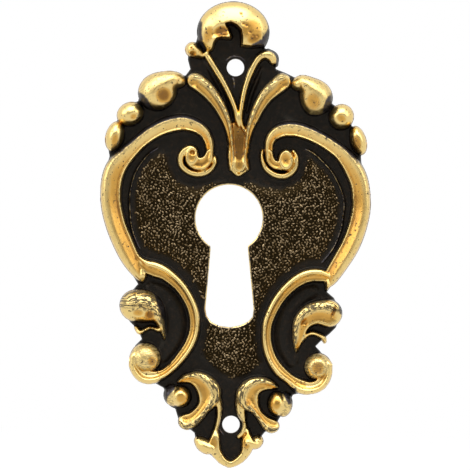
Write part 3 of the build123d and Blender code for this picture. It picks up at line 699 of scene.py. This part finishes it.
holes = {
    "bow": (229, 218.2, 33.6),  # x, y and radius
    "slot": [
        (210.5, 250), (210.3, 225), (248, 225), (248, 250), (253.6, 309), (252.6, 317), (248, 321.8),
        (240, 325.6), (230, 327.5), (219, 326), (211, 322), (206.6, 316), (205.4, 309)],
    "rubbedRim": (0.05, 0.28),  # mm from the keyhole, worn by keys
    "keyBevel": (0.35, 0.2),  # mm across and down, rounding of the keyhole's edge
    "pinArcs": [  # faint lines round the pin holes
        [(225.5, 61, 2, 1.5), (229.5, 57.5, 2.4, 1.6), (235, 56, 2.4, 1.65), (241, 57.5, 2.2, 1.6),
         (245.5, 61.5, 2, 1.5)],
        [(219, 427, 2, 1.5), (220.3, 430.5, 2.2, 1.6), (223, 434.5, 2, 1.5)],
        [(233, 78.5, 2.6, 1.45), (234, 82, 3, 1.5), (234.3, 88, 1.6, 1.4)]],
}


def cutHoles(carving):
    for arc in holes["pinArcs"]:
        carving.rib(arc, "crease")
    for x, y in (photo["topPin"], photo["bottomPin"]):
        carving.hole(*carving.discDepth(x, y, pinMount["dims"]["hole_r_mm"] / pixel))
    for area, depth in (carving.polygonDepth(holes["slot"]), carving.discDepth(*holes["bow"])):
        carving.hole(area, depth)
        carving.keyholeGap[area] = np.minimum(carving.keyholeGap[area], -depth)
    wide, deep = holes["keyBevel"]
    carving.height -= deep * (1 - np.clip(carving.keyholeGap / wide, 0, 1)) ** 2


def carvePlate():
    carving = Carving()
    for carve in (
            carveGround, carveCrown, carvePlume, carveShoulders, carveScrolls, carveLowerScrolls, carveKnobs,
            carveTail, cutHoles):
        carve(carving)
    # nothing stands beyond the outline, apart from the two steps that the blur needs
    carving.height = np.where(carving.inside > -2 * relief["step"], carving.height, 0)
    carving.height = blurred(carving.height, relief["soften"])
    return carving


carving = carvePlate()
print("carved the front:", carving.height.shape, "points, highest", round(float(carving.height.max()), 2))


finish = {
    "crease": (0.16, -0.60, -0.30),  # mm of blur, and depth below it where the patina stays
    "hollow": (0.5, -0.35, 0.12),  # mm of blur, and depth below it where the brass is deep gold: painted shade in the hollows, partly tarnish
    "softBare": 0.7,  # blur in steps
    "softTint": 0.8,
    "tinted": 1.1,  # how far a full tint goes towards umber
    "keyRub": 0.62,
    "grainTop": 0.08,  # mm above the field up to which it is stippled
    "grainEdge": 0.15,  # mm of plain edge round the keyhole
}


def surfaceMaps(carving):
    # where the brass is bare, how far it stands out of a hollow, which sets its tone and so paints shade into
    # the hollows, partly as tarnish, and where the field is stippled
    ground = np.where(carving.inside > 0, carving.height, plate["web"])
    creaseBlur, *creaseDepth = finish["crease"]
    hollowBlur, *hollowDepth = finish["hollow"]
    crease = carving.height - blurred(ground, creaseBlur / relief["step"])
    hollow = carving.height - blurred(ground, hollowBlur / relief["step"])
    bare = blurred(carving.layers["bare"], finish["softBare"]) * smoothStep(*creaseDepth, crease)
    tint = blurred(carving.layers["tint"], finish["softTint"])
    tone = smoothStep(*hollowDepth, hollow) * (1 - finish["tinted"] * np.maximum(tint, 0))
    rim = finish["keyRub"] * (1 - smoothStep(*holes["rubbedRim"], carving.keyholeGap))
    stipple = np.zeros_like(bare)
    area, depth = carving.polygonDepth(plate["fieldEdge"])
    low, high = plate["stippleMargin"]
    level = carving.height[area] < plate["field"] + finish["grainTop"]
    level &= carving.inside[area] > finish["grainEdge"]
    stipple[area] = smoothStep(low * pixel, high * pixel, depth) * level
    return {
        "bare": np.maximum(bare, rim),
        "tone": tone - np.minimum(tint, 0),
        "scored": carving.layers["scored"],
        "along": carving.layers["along"],
        "across": carving.layers["across"],
        "stipple": stipple,
    }


maps = surfaceMaps(carving)


def frontMesh(carving, maps):
    # cells inside the outline become quads, cells across it are cut along it
    inside = carving.inside
    kept = inside > 0
    number = {}
    places, values, faces = [], [], []

    def gridPoint(i, k):
        key = (i, k)
        if key not in number:
            number[key] = len(places)
            places.append((carving.x[i], carving.height[i, k], carving.z[k]))
            values.append([maps[name][i, k] for name in maps])
        return number[key]

    def edgePoint(a, b):
        key = (a, b) if a < b else (b, a)
        if key not in number:
            (i, k), (m, n) = key
            t = float(np.clip(inside[i, k] / (inside[i, k] - inside[m, n]), *relief["cut"]))
            inner = key[0] if kept[key[0]] else key[1]
            number[key] = len(places)
            places.append((
                carving.x[i] + t * (carving.x[m] - carving.x[i]), carving.height[inner],
                carving.z[k] + t * (carving.z[n] - carving.z[k])))
            values.append([maps[name][inner] for name in maps])
        return number[key]

    count = kept[:-1, :-1].astype(int) + kept[1:, :-1] + kept[1:, 1:] + kept[:-1, 1:]
    for i, k in np.argwhere(count > 0):
        i, k = int(i), int(k)
        ring = [(i, k), (i + 1, k), (i + 1, k + 1), (i, k + 1)]
        face = []
        for a, b in zip(ring, ring[1:] + ring[:1]):
            if kept[a]:
                face.append(gridPoint(*a))
            if kept[a] != kept[b]:
                face.append(edgePoint(a, b))
        if len(face) > 2:
            faces.append(face)
    return np.array(places), np.array(values), faces


def solidRelief(carving, maps):
    places, values, faces = frontMesh(carving, maps)
    mesh = bpy.data.meshes.new("escutcheonRelief")
    front = np.column_stack([places[:, 0], -np.maximum(places[:, 1], relief["rim"]), places[:, 2]])
    mesh.from_pydata((front * mm).tolist(), [], faces)
    for column, name in enumerate(maps):
        layer = mesh.attributes.new(name, "FLOAT", "POINT")
        layer.data.foreach_set("value", values[:, column].astype(np.float32))
    piece = bpy.data.objects.new("escutcheonRelief", mesh)
    bpy.context.scene.collection.objects.link(piece)
    thin = piece.modifiers.new("thin", "DECIMATE")
    thin.ratio = min(1.0, relief["triangles"] / (2 * len(faces)))
    thin.use_collapse_triangulate = True
    mesh = bpy.data.meshes.new_from_object(piece.evaluated_get(bpy.context.evaluated_depsgraph_get()))
    piece.modifiers.remove(thin)
    piece.data = mesh

    # wall down to the back plane, then the flat back
    work = bmesh.new()
    work.from_mesh(mesh)
    rimEdges = [e for e in work.edges if e.is_boundary]
    made = bmesh.ops.extrude_edge_only(work, edges=rimEdges)["geom"]
    for vert in [g for g in made if isinstance(g, bmesh.types.BMVert)]:
        vert.co.y = 0.0
    madeEdges = [g for g in made if isinstance(g, bmesh.types.BMEdge)]
    backEdges = [e for e in madeEdges if all(v.co.y == 0.0 for v in e.verts)]
    bmesh.ops.triangle_fill(work, edges=backEdges, use_beauty=True)
    bmesh.ops.recalc_face_normals(work, faces=work.faces)
    work.to_mesh(mesh)
    work.free()

    # the finish of the front stops short of the back, which is as cast
    back = np.array([v.co.y == 0.0 for v in mesh.vertices])
    for name in maps:
        values = np.empty(back.size, np.float32)
        mesh.attributes[name].data.foreach_get("value", values)
        mesh.attributes[name].data.foreach_set("value", np.where(back, 0, values).astype(np.float32))
    cast = mesh.attributes.new("cast", "FLOAT", "POINT")
    cast.data.foreach_set("value", back.astype(np.float32))
    mesh.shade_smooth()
    mesh.set_sharp_from_angle(angle=math.radians(relief["sharp"]))
    return piece


reliefPiece = solidRelief(carving, maps)
print("relief:", len(reliefPiece.data.polygons), "triangles")


# One socket of a shader tree, with arithmetic that adds Math nodes
class Socket:
    def __init__(self, tree, output):
        self.tree = tree
        self.output = output

    def other(self, name):
        return Socket(self.tree, self.output.node.outputs[name])

    def math(self, operation, *values):
        return node(self.tree, "ShaderNodeMath", {"operation": operation}, dict(enumerate(values)))

    def __add__(self, other):
        return self.math("ADD", self, other)

    __radd__ = __add__

    def __sub__(self, other):
        return self.math("SUBTRACT", self, other)

    def __rsub__(self, other):
        return self.math("SUBTRACT", other, self)

    def __mul__(self, other):
        return self.math("MULTIPLY", self, other)

    __rmul__ = __mul__

    def atMost(self, limit):
        return self.math("MINIMUM", self, limit)

    def step(self, low, high):
        return node(
            self.tree, "ShaderNodeMapRange", {"interpolation_type": "SMOOTHSTEP"},
            {"Value": self, "From Min": low, "From Max": high})


def node(tree, kind, settings=None, inputs=None, output=0):
    made = tree.nodes.new(kind)
    for name, value in (settings or {}).items():
        setattr(made, name, value)
    for name, value in (inputs or {}).items():
        if isinstance(value, Socket):
            tree.links.new(value.output, made.inputs[name])
        else:
            made.inputs[name].default_value = value
    return Socket(tree, made.outputs[output]) if made.outputs else None


def mixColour(tree, factor, a, b):
    return node(tree, "ShaderNodeMix", {"data_type": "RGBA"}, {0: factor, 6: a, 7: b}, 2)


def noise(tree, place, scale, detail, roughness):
    return node(
        tree, "ShaderNodeTexNoise", None,
        {"Vector": place, "Scale": scale, "Detail": detail, "Roughness": roughness})


def attribute(tree, name):
    return node(tree, "ShaderNodeAttribute", {"attribute_name": name}, output=2)


def newMaterial(name):
    material = bpy.data.materials.new(name)
    material.use_nodes = True
    material.node_tree.nodes.clear()
    return material, material.node_tree


def finishMaterial(tree, inputs):
    shader = node(tree, "ShaderNodeBsdfPrincipled", None, inputs)
    node(tree, "ShaderNodeOutputMaterial", None, {"Surface": shader})


agedBrass = {
    "patina": (0.0045, 0.0037, 0.0033, 1),
    "warmPatina": (0.016, 0.009, 0.005, 1),
    "ground": (0.019, 0.0125, 0.005, 1),  # between the grains of the field
    "sheen": (0.068, 0.062, 0.070, 1),  # patina rubbed smooth
    "cast": (0.30, 0.19, 0.075, 1),  # unpolished back
    "castShade": (0.22, 0.135, 0.052, 1),
    "gold": (0.80, 0.59, 0.22, 1),
    "deepGold": (0.62, 0.34, 0.066, 1),
    "umber": (0.25, 0.115, 0.02, 1),
    "gleam": (1.0, 0.93, 0.78, 1),
    "smooth": (0.12, 0.34),  # bareness at which the patina is rubbed smooth
    "worn": (0.35, 0.65),  # and at which it gives way to brass
    "broad": (420, 3.0, 0.55),  # scale, detail and roughness of the uneven wear
    "fine": (1900, 4.0, 0.65),
    "pits": (2600, 2.0, 0.5),
    "pitted": (0.63, 0.70),
    "strokes": (4.4, 2.0),  # fineness of the scoring across and along a form, per mm
    "stroke": (1.0, 2.0, 0.55),
    "scored": (0.468, 0.508),
    "wander": 2.0,  # how far the strokes stray
    "patchy": 0.4,  # how much the noise moves the edge of the patina
    "mottled": 0.5,  # and how much it moves the tone of the brass
    "warmFrom": (0.45, 0.75),
    "castFrom": (0.35, 0.65),
    "umberTo": (-0.1, 0.3),  # tone at which umber gives way to deep gold
    "goldFrom": (0.25, 0.85),  # and deep gold to gold
    "held": 0.9,  # patina that stays in pits and strokes
    "bump": (0.3, 0.08 * mm),
    "pitBump": 0.6,
    "strokeBump": 0.8,
    "roughness": 0.38,
    "smoother": 0.08,  # where the patina is rubbed
    "uneven": 0.12,
    "castMetal": 0.8,
    "specular": 0.2,
    "coat": 0.25,
    "coatRoughness": 0.25,
}


def agedBrassMaterial():
    material, tree = newMaterial("agedBrass")
    place = node(tree, "ShaderNodeTexCoord", output=3)
    broad = noise(tree, place, *agedBrass["broad"])
    fine = noise(tree, place, *agedBrass["fine"])
    pits = noise(tree, place, *agedBrass["pits"]).step(*agedBrass["pitted"])
    finest, longest = agedBrass["strokes"]
    track = node(
        tree, "ShaderNodeCombineXYZ", None,
        {0: finest * attribute(tree, "across"), 1: longest * attribute(tree, "along"),
         2: agedBrass["wander"] * broad})
    strokes = attribute(tree, "scored") * noise(tree, track, *agedBrass["stroke"]).step(*agedBrass["scored"])
    bare = attribute(tree, "bare") + agedBrass["patchy"] * (broad - 0.5) + agedBrass["patchy"] * (fine - 0.5)
    whole = (1 - agedBrass["held"] * pits) * (1 - agedBrass["held"] * strokes)
    worn = whole * bare.step(*agedBrass["worn"])
    sheen = whole * bare.step(*agedBrass["smooth"])
    # tone: umber and deep gold in hollows, dents, grooves and where forms face straight out, a painted shade
    # that partly stands for tarnish
    tone = attribute(tree, "tone") + agedBrass["mottled"] * (broad - 0.5)
    deep = mixColour(tree, tone.step(*agedBrass["umberTo"]), agedBrass["umber"], agedBrass["deepGold"])
    gold = mixColour(tree, tone.step(*agedBrass["goldFrom"]), deep, agedBrass["gold"])
    plain = mixColour(tree, fine.step(*agedBrass["warmFrom"]), agedBrass["patina"], agedBrass["warmPatina"])
    ground = mixColour(tree, attribute(tree, "stipple"), plain, agedBrass["ground"])
    dark = mixColour(tree, sheen, ground, agedBrass["sheen"])
    cast = attribute(tree, "cast") * (0.5 + fine).atMost(1.0)
    rough = mixColour(tree, broad.step(*agedBrass["castFrom"]), agedBrass["castShade"], agedBrass["cast"])
    aged = mixColour(tree, cast, dark, rough)
    strength, distance = agedBrass["bump"]
    bump = node(
        tree, "ShaderNodeBump", None,
        {"Strength": strength, "Distance": distance,
         "Height": fine - agedBrass["pitBump"] * pits - agedBrass["strokeBump"] * strokes})
    roughness = agedBrass["roughness"] - agedBrass["smoother"] * sheen + agedBrass["uneven"] * (fine - 0.5)
    finishMaterial(tree, {
        "Base Color": mixColour(tree, worn, aged, gold),
        "Metallic": (sheen + agedBrass["castMetal"] * cast + attribute(tree, "stipple")).atMost(1.0),
        "Roughness": roughness,
        "Specular IOR Level": agedBrass["specular"],
        "Specular Tint": agedBrass["gleam"],
        "Coat Weight": agedBrass["coat"] * worn,
        "Coat Roughness": agedBrass["coatRoughness"],
        "Normal": bump,
    })
    return material


reliefPiece.data.materials.clear()
reliefPiece.data.materials.append(agedBrassMaterial())

grains = {
    "pitch": 0.31 * mm,  # least distance between two grains
    "radius": 0.205 * mm,
    "least": (0.75, 0.5, 0.35),  # shares of the radius
    "most": (1.7, 0.9, 0.6),
    "tilt": 0.3,  # radians
    "spin": 6.28,
    "sides": (7, 4),  # segments and rings of a grain
    "densest": 2e7,  # grains on a square metre
    "seed": 7,
    "sizeSeed": 3,
    "turnSeed": 5,
    "toneSeed": 9,
    "every": 3,  # steps of the carving between the points of the field's copy
    "thinnest": 0.05,  # stipple under which there are no grains
    "noise": (3200, 2.0, 0.55),
    "rubbed": (0.35, 0.95),  # height on a grain over which the patina gives way
    "uneven": (0.5, 0.6),  # how much the tone and the noise move that
    "roughness": (0.5, 0.35),  # of the patina and of the rubbed top
    "patina": (0.034, 0.022, 0.009, 1),
    "brown": (0.09, 0.058, 0.024, 1),
    "tan": (0.27, 0.20, 0.115, 1),
}


def grainMaterial():
    material, tree = newMaterial("stippledBrass")
    place = node(tree, "ShaderNodeTexCoord", output=3)
    tone = attribute(tree, "tone")
    fine = noise(tree, place, *grains["noise"])
    byTone, byNoise = grains["uneven"]
    height = attribute(tree, "crest") + byTone * (tone - 0.5) + byNoise * (fine - 0.5)
    rubbed = height.step(*grains["rubbed"])
    brass = mixColour(tree, tone, grains["brown"], grains["tan"])
    rough, polishAndHighlight = grains["roughness"]
    finishMaterial(tree, {
        "Base Color": mixColour(tree, rubbed, grains["patina"], brass),
        "Metallic": 1.0,
        "Roughness": rough - (rough - polishAndHighlight) * rubbed,
    })
    return material


def groundPatch(carving, stipple):
    # coarse copy of the stippled field, for the grains to be strewn on
    every = grains["every"]
    rows = stipple[::every, ::every] > grains["thinnest"]
    count = rows[:-1, :-1].astype(int) + rows[1:, :-1] + rows[1:, 1:] + rows[:-1, 1:]
    number = {}
    places, weights, faces = [], [], []
    for i, k in np.argwhere(count == 4):
        face = []
        for a, b in ((i, k), (i + 1, k), (i + 1, k + 1), (i, k + 1)):
            if (a, b) not in number:
                number[a, b] = len(places)
                at = (a * every, b * every)
                places.append((carving.x[at[0]] * mm, -carving.height[at] * mm, carving.z[at[1]] * mm))
                weights.append(stipple[at])
            face.append(number[a, b])
        faces.append(face)
    mesh = bpy.data.meshes.new("stippleGround")
    mesh.from_pydata(places, [], faces)
    layer = mesh.attributes.new("stipple", "FLOAT", "POINT")
    layer.data.foreach_set("value", np.array(weights, np.float32))
    return mesh


def grainTree():
    tree = bpy.data.node_groups.new("strewGrains", "GeometryNodeTree")
    face = tree.interface
    face.new_socket("Geometry", in_out="INPUT", socket_type="NodeSocketGeometry")
    for name in ("Pitch", "Radius"):
        face.new_socket(name, in_out="INPUT", socket_type="NodeSocketFloat")
    for name in ("Least", "Most"):
        face.new_socket(name, in_out="INPUT", socket_type="NodeSocketVector")
    face.new_socket("Seed", in_out="INPUT", socket_type="NodeSocketInt")
    face.new_socket("Material", in_out="INPUT", socket_type="NodeSocketMaterial")
    face.new_socket("Geometry", in_out="OUTPUT", socket_type="NodeSocketGeometry")
    given = node(tree, "NodeGroupInput")
    density = node(tree, "GeometryNodeInputNamedAttribute", {"data_type": "FLOAT"}, {"Name": "stipple"})
    points = node(
        tree, "GeometryNodeDistributePointsOnFaces", {"distribute_method": "POISSON"},
        {"Mesh": given.other("Geometry"), "Distance Min": given.other("Pitch"),
         "Density Max": grains["densest"], "Density Factor": density, "Seed": given.other("Seed")})
    segments, rings = grains["sides"]
    grain = node(
        tree, "GeometryNodeMeshUVSphere", None,
        {"Segments": segments, "Rings": rings, "Radius": given.other("Radius")})
    rise = node(tree, "ShaderNodeSeparateXYZ", None, {0: node(tree, "GeometryNodeInputPosition")}, 2)
    marked = node(
        tree, "GeometryNodeStoreNamedAttribute", {"data_type": "FLOAT", "domain": "POINT"},
        {"Geometry": grain, "Name": "crest", "Value": rise.math("DIVIDE", rise, given.other("Radius"))})
    size = node(
        tree, "FunctionNodeRandomValue", {"data_type": "FLOAT_VECTOR"},
        {0: given.other("Least"), 1: given.other("Most"), "Seed": grains["sizeSeed"]})
    tilt, spin = grains["tilt"], grains["spin"]
    turn = node(
        tree, "FunctionNodeRandomValue", {"data_type": "FLOAT_VECTOR"},
        {0: (-tilt, -tilt, 0.0), 1: (tilt, tilt, spin), "Seed": grains["turnSeed"]})
    facing = node(
        tree, "FunctionNodeRotateRotation", {"rotation_space": "LOCAL"},
        {"Rotation": points.other("Rotation"), "Rotate By": turn})
    strewn = node(
        tree, "GeometryNodeInstanceOnPoints", None,
        {"Points": points, "Instance": marked, "Rotation": facing, "Scale": size})
    shade = node(
        tree, "FunctionNodeRandomValue", {"data_type": "FLOAT"},
        {2: 0.0, 3: 1.0, "Seed": grains["toneSeed"]}, 1)
    toned = node(
        tree, "GeometryNodeStoreNamedAttribute", {"data_type": "FLOAT", "domain": "INSTANCE"},
        {"Geometry": strewn, "Name": "tone", "Value": shade})
    solid = node(tree, "GeometryNodeRealizeInstances", None, {"Geometry": toned})
    painted = node(
        tree, "GeometryNodeSetMaterial", None, {"Geometry": solid, "Material": given.other("Material")})
    node(tree, "NodeGroupOutput", None, {"Geometry": painted})
    return tree


def strewGrains(carving, stipple):
    piece = bpy.data.objects.new("stippledGround", groundPatch(carving, stipple))
    bpy.context.scene.collection.objects.link(piece)
    work = piece.modifiers.new("grains", "NODES")
    tree = grainTree()
    work.node_group = tree
    given = {name.capitalize(): grains[name] for name in ("pitch", "radius", "least", "most", "seed")}
    given["Material"] = grainMaterial()
    for item in tree.interface.items_tree:
        if item.in_out == "INPUT" and item.name in given:
            work[item.identifier] = given[item.name]
    mesh = bpy.data.meshes.new_from_object(piece.evaluated_get(bpy.context.evaluated_depsgraph_get()))
    piece.modifiers.remove(work)
    piece.data = mesh
    mesh.shade_smooth()
    return piece


grainPiece = strewGrains(carving, maps["stipple"])
print("grains:", len(grainPiece.data.polygons), "faces")

for piece in (reliefPiece, grainPiece):
    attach(piece, "root")
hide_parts("escutcheon")

studio = {
    "floorDrop": 3 * mm,  # floor under the lowest point
    "floorSize": 0.7,  # m
    "floorSides": 64,
    "floorColour": (0.85, 0.85, 0.85, 1),
    "floorWhite": 0.6,  # share of plain white that the camera sees under the object, beside the shadow
    "floorFade": (0.03, 0.16),  # m from the object over which the floor turns quite white
    "room": (0.40, 0.40, 0.40, 1),  # what the metal sees of the room in front of it
    "surround": (1.0, 1.0, 1.0, 1),
    "surroundFrom": (-0.85, -0.1),  # share of the way behind the object
    "fill": 0.55,  # soft light from all round
    "lens": 300.0,
    "sensor": 36.0,
}

# Place and size in m, power in W
lamps = {
    "top": {"place": (0.0, -0.22, 0.42), "size": 0.5, "power": 2.6},
    "left": {"place": (-0.38, -0.2, 0.22), "size": 0.35, "power": 0.85},
    "right": {"place": (0.38, -0.2, 0.22), "size": 0.35, "power": 0.6},
}


def buildWorld(scene):
    world = bpy.data.worlds.new("studio")
    scene.world = world
    world.use_nodes = True
    tree = world.node_tree
    tree.nodes.clear()
    rays = node(tree, "ShaderNodeLightPath")
    reflected = (rays.other("Is Glossy Ray") + rays.other("Is Transmission Ray")).atMost(1.0)
    behind = node(tree, "ShaderNodeSeparateXYZ", None, {0: node(tree, "ShaderNodeTexCoord", output=0)}, 1)
    white = (rays + behind.step(*studio["surroundFrom"])).atMost(1.0)
    shown = node(
        tree, "ShaderNodeBackground", None,
        {"Color": mixColour(tree, white, studio["room"], studio["surround"]), "Strength": 1.0})
    soft = node(tree, "ShaderNodeBackground", None, {"Color": studio["surround"], "Strength": studio["fill"]})
    mixed = node(tree, "ShaderNodeMixShader", None, {0: (rays + reflected).atMost(1.0), 1: soft, 2: shown})
    node(tree, "ShaderNodeOutputWorld", None, {"Surface": mixed})


def buildFloor(scene):
    mesh = bpy.data.meshes.new("floor")
    work = bmesh.new()
    bmesh.ops.create_circle(work, cap_ends=True, segments=studio["floorSides"], radius=studio["floorSize"])
    bmesh.ops.translate(work, verts=work.verts, vec=(0, 0, cadBox[0].z - studio["floorDrop"]))
    work.to_mesh(mesh)
    work.free()
    floor = bpy.data.objects.new("floor", mesh)
    scene.collection.objects.link(floor)
    material, tree = newMaterial("paleFloor")
    rays = node(tree, "ShaderNodeLightPath")
    place = node(tree, "ShaderNodeTexCoord", output=3)
    reach = node(tree, "ShaderNodeVectorMath", {"operation": "LENGTH"}, {0: place}, 1)
    away = reach.step(*studio["floorFade"])
    share = studio["floorWhite"] + (1 - studio["floorWhite"]) * away
    white = share * rays + rays.other("Is Glossy Ray") + rays.other("Is Transmission Ray")
    plain = node(tree, "ShaderNodeBsdfDiffuse", None, {"Color": studio["floorColour"]})
    glow = node(tree, "ShaderNodeEmission", None, {"Color": studio["surround"], "Strength": 1.0})
    seen = node(tree, "ShaderNodeMixShader", None, {0: white.atMost(1.0), 1: plain, 2: glow})
    node(tree, "ShaderNodeOutputMaterial", None, {"Surface": seen})
    mesh.materials.append(material)


def placeLamps(scene):
    for name, lamp in lamps.items():
        light = bpy.data.lights.new(name, "AREA")
        light.energy = lamp["power"]
        light.size = lamp["size"]
        holder = bpy.data.objects.new(name, light)
        holder.location = lamp["place"]
        holder.rotation_euler = (-Vector(lamp["place"])).to_track_quat("-Z", "Y").to_euler()
        scene.collection.objects.link(holder)


def placeCamera(scene):
    centre = toPlate([(photo["size"] / 2, photo["size"] / 2)])[0] * mm
    data = bpy.data.cameras.new("camera")
    data.lens = studio["lens"]
    data.sensor_width = studio["sensor"]
    distance = photo["size"] * pixel * mm * studio["lens"] / studio["sensor"]
    camera = bpy.data.objects.new("camera", data)
    camera.location = (centre[0], -distance - plate["web"] * mm, centre[1])
    camera.rotation_euler = (math.pi / 2, -lean, 0)
    scene.collection.objects.link(camera)
    scene.camera = camera


scene = bpy.context.scene
scene.view_settings.view_transform = "Standard"
for build in (buildWorld, buildFloor, placeLamps, placeCamera):
    build(scene)
print("stage, lamps and camera are set")
